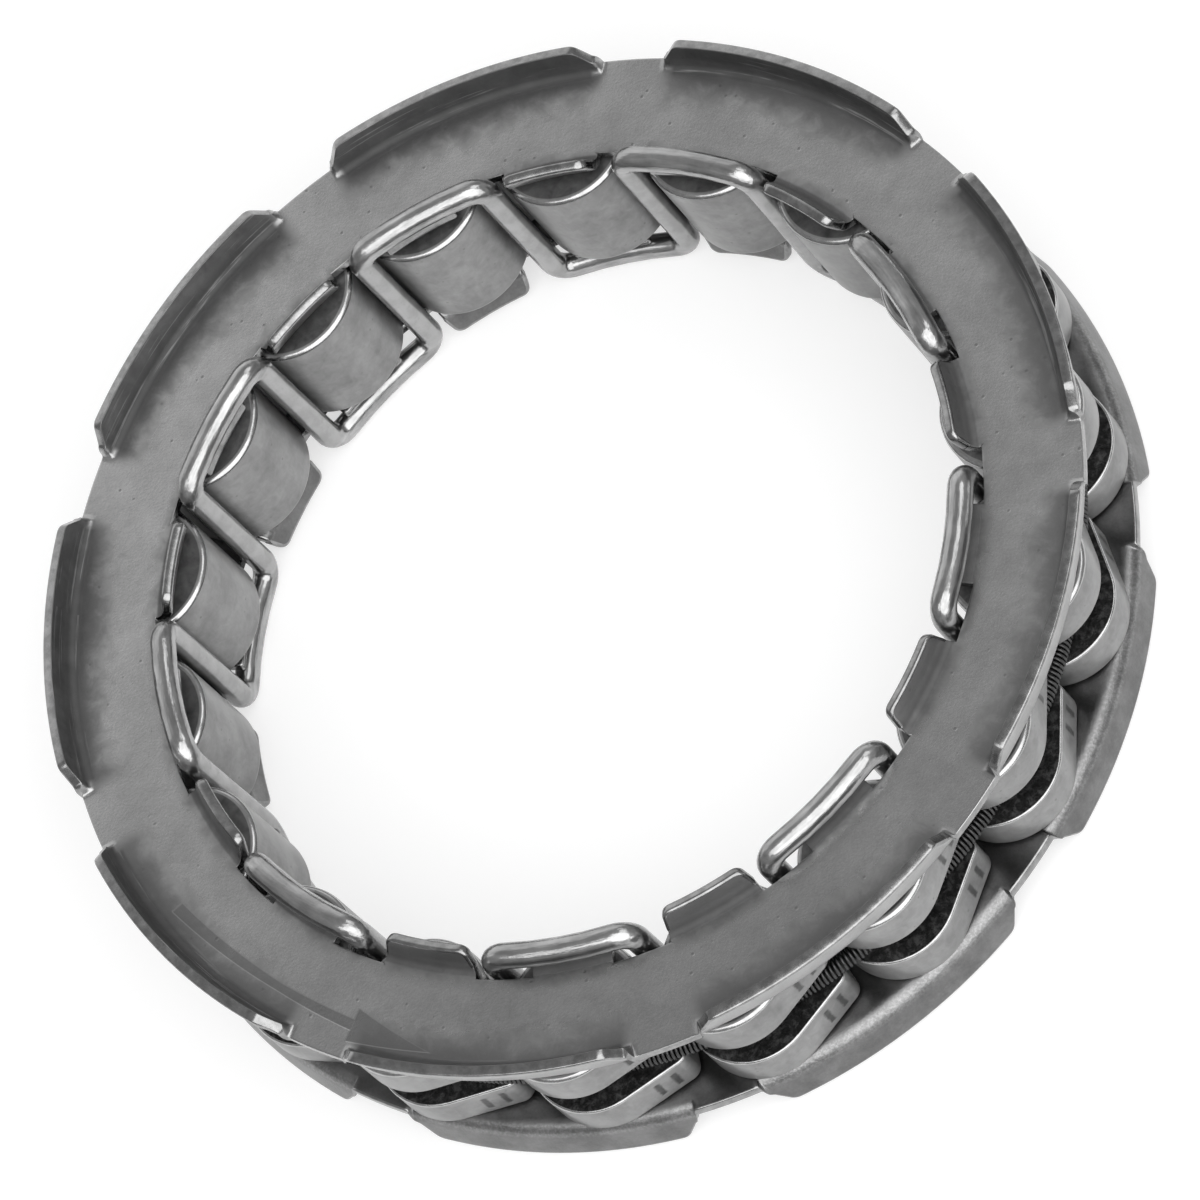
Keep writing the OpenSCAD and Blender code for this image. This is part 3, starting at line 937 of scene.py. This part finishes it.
def sheared_steel(low, high):
    """Smooth metal of cut and worn edges."""
    g = Graph("sheared_steel")
    p = g.place()
    grain = g.noise(p, 6.0, 4.0, 0.65)
    streak = g.noise(p, 1.6, 4.0, 0.6)
    value = g.mix(g.ramp(streak, 0.3, 0.7), low, high)
    value = g.plus(value, g.swing(grain, 0.1))
    return g.steel(value, g.mix(streak, 0.17, 0.26), g.bump(grain, 0.00001, 0.4))


def under_steel(low, high):
    """The side of the sheet that the bends turn outwards, rough on the bend, with a painted
    highlight along the bend.
    """
    g = Graph("under_steel")
    p = g.place()
    cloud = g.noise(p, 0.5, 4.0, 0.6)
    grain = g.noise(p, 6.0, 4.0, 0.65)
    value = g.mix(g.ramp(cloud, 0.3, 0.7), low, high)
    value = g.plus(value, g.swing(grain, 0.08))
    height = g.math("ABSOLUTE", g.split(p)[2])
    # painted highlight: a brighter band along the outside of the bend, with a little relief there
    # too
    bend_highlight_band = g.times(g.ramp(height, 4.06, 4.2), g.ramp(height, 4.85, 4.5))
    value = g.plus(value, g.times(bend_highlight_band, g.mix(g.ramp(grain, 0.4, 0.65), 0.03, 0.1)))
    relief = g.plus(grain, g.times(g.times(bend_highlight_band, grain), 0.8))
    return g.steel(value, g.mix(cloud, 0.26, 0.36), g.bump(relief, 0.00002, 0.6))


def groove_steel():
    """The rough inside of the sprags' groove, made nearly black as painted shade, with paler dirt.
    """
    g = Graph("groove_steel")
    p = g.place()
    grain = g.noise(p, 5.0, 4.0, 0.7)
    dirt = g.ramp(g.noise(p, 1.9, 5.0, 0.7, 0.4), 0.45, 0.68)
    value = g.plus(g.mix(g.ramp(grain, 0.3, 0.7), 0.022, 0.05), g.times(dirt, 0.09))
    return g.steel(value, 0.7, g.bump(grain, 0.00004, 0.5))


def dress(obj, mat):
    for s in obj.material_slots:
        s.material = mat
    if not obj.material_slots:
        obj.data.materials.append(mat)


# ---------------------------------------------------------------- the scene
make_camera()
make_world()
for lamp in LAMPS:
    make_lamp(*lamp)
make_floor()

materials = {"plate_steel": plate_steel(), "wire_steel": wire_steel(),
             "sprag_steel": sprag_steel(0.21, 0.29), "spring_steel": spring_steel()}
rim_steel = sheared_steel(0.24, 0.36)
worn_steel = sheared_steel(0.38, 0.5)
# a darker copy of the sprags' steel for their end faces: painted shade where the plates cover them
shaded_cheek_steel = sprag_steel(0.09, 0.14)
groove_shade_steel = groove_steel()

verts, faces, matter = plate_mesh()
# the rear plate's under side faces the sprags and the floor and takes a darker copy of the same
# steel: painted shade
for name, turned, low, high in (("front_plate", False, 0.34, 0.42),
                                ("rear_plate", True, 0.155, 0.23)):
    skins = [plate_steel(marked=not turned), rim_steel, under_steel(low, high)]
    piece = make_plate("stamped_" + name, verts, faces, matter, skins, turned)
    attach(piece, "cage")
    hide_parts(name)

verts, faces = tube(wire_path(), WIRE_D / 2, 20)
piece = new_piece("bent_wire", verts, faces, [materials["wire_steel"]])
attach(piece, "cage")
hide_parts("cage_wire")

verts, faces = tube(coil_path(), COIL_GAUGE / 2, 6)
piece = new_piece("coiled_spring", verts, faces, [materials["spring_steel"]])
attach(piece, "cage")
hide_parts("garter_spring")

skins = [materials["sprag_steel"], groove_shade_steel, shaded_cheek_steel, worn_steel]
for n in range(1, SPRAGS + 1):
    verts, faces, matter = sprag_mesh(n)
    at = math.radians(TAB_AT + (n - 1) * PITCH / 2 + SPRAG_PLAY)
    outwards = Vector((math.cos(at), math.sin(at), 0))
    onwards = Vector((-math.sin(at), math.cos(at), 0))
    placed = [outwards * v.y + onwards * v.x + Vector((0, 0, v.z)) for v in verts]
    piece = new_piece("rocking_sprag_%02d" % n, placed, faces, skins, matter)
    round_edges(piece, SPRAG_BEVEL, 32.0)
    even_shading(piece)
    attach(piece, "sprag_%02d_body" % n)
    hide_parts("sprag_%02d" % n)

node_slot = {row["node"]: row["material_slot"] for row in frame["record"]["subparts"]}
for name, obj in frame["nodes"].items():
    dress(obj, materials[node_slot[name]])

bpy.context.scene.view_settings.view_transform = "Standard"
